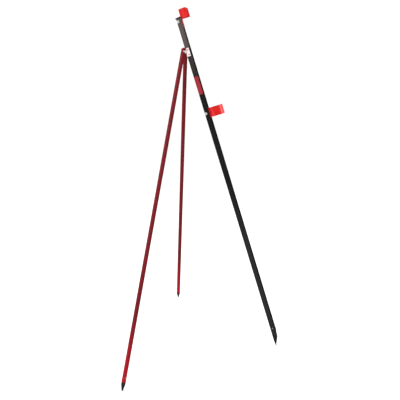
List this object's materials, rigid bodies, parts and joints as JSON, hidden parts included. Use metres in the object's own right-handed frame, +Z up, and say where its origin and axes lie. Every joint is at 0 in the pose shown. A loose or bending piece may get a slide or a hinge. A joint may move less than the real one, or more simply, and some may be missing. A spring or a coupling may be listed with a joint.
{
  "type": "folding rod rest stand",
  "caption": "Leaning rectangular pole with thin folding rear legs and open-fronted cradles that hold a long staff or rod.",
  "frame": {"origin": "on the ground, at the middle of the footprint, between the pole's point and the legs' feet", "axes": "+Z up; +X from the legs' feet towards the pole's point; the legs fold symmetrically about the XZ plane, and left is +Y"},
  "size_m": [0.6506, 1.1702, 1.6684],
  "materials": {
    "pole": "black anodised, satin",
    "black_fitting": "fine grain, black",
    "cradle": "moulded red, glossy",
    "leg": "dark red anodised, satin",
    "plate": "bright zinc",
    "steel": "zinc plated",
    "nylon": "natural nylon",
    "label": "plain red film"
  },
  "bodies": {
    "pole": {"main_pole": "pole", "pole_spike": "black_fitting", "spike_pin": "steel", "pole_top_cap": "black_fitting", "upper_rest": "cradle", "upper_rest_screws": "steel", "lower_rest": "cradle", "lower_rest_insert": "black_fitting", "lower_rest_screws": "steel", "rest_bolts": "steel", "rest_nuts": "steel", "rest_washers": "steel", "left_hinge_plate": "plate", "right_hinge_plate": "plate", "hinge_plate_bolts": "steel", "hinge_plate_nuts": "steel", "hinge_plate_sleeves": "steel", "pole_label": "label"},
    "left_leg": {"left_leg_tube": "leg", "left_leg_plug": "black_fitting", "left_pivot_bolt": "steel", "left_pivot_nut": "steel", "left_pivot_washers": "nylon", "left_leg_foot": "black_fitting", "left_foot_pin": "steel"},
    "right_leg": {"right_leg_tube": "leg", "right_leg_plug": "black_fitting", "right_pivot_bolt": "steel", "right_pivot_nut": "steel", "right_pivot_washers": "nylon", "right_leg_foot": "black_fitting", "right_foot_pin": "steel"}
  },
  "joints": [
    {"name": "left_leg_fold", "type": "hinge", "parent": "pole", "child": "left_leg", "pos_m": [-0.15112, 0.0292, 1.46461], "axis": [-0.648, -0.734, -0.2034], "range_deg": [0, 31.18]},
    {"name": "right_leg_fold", "type": "hinge", "parent": "pole", "child": "right_leg", "pos_m": [-0.15112, -0.0292, 1.46461], "axis": [0.648, -0.734, 0.2034], "range_deg": [0, 31.18]}
  ]
}
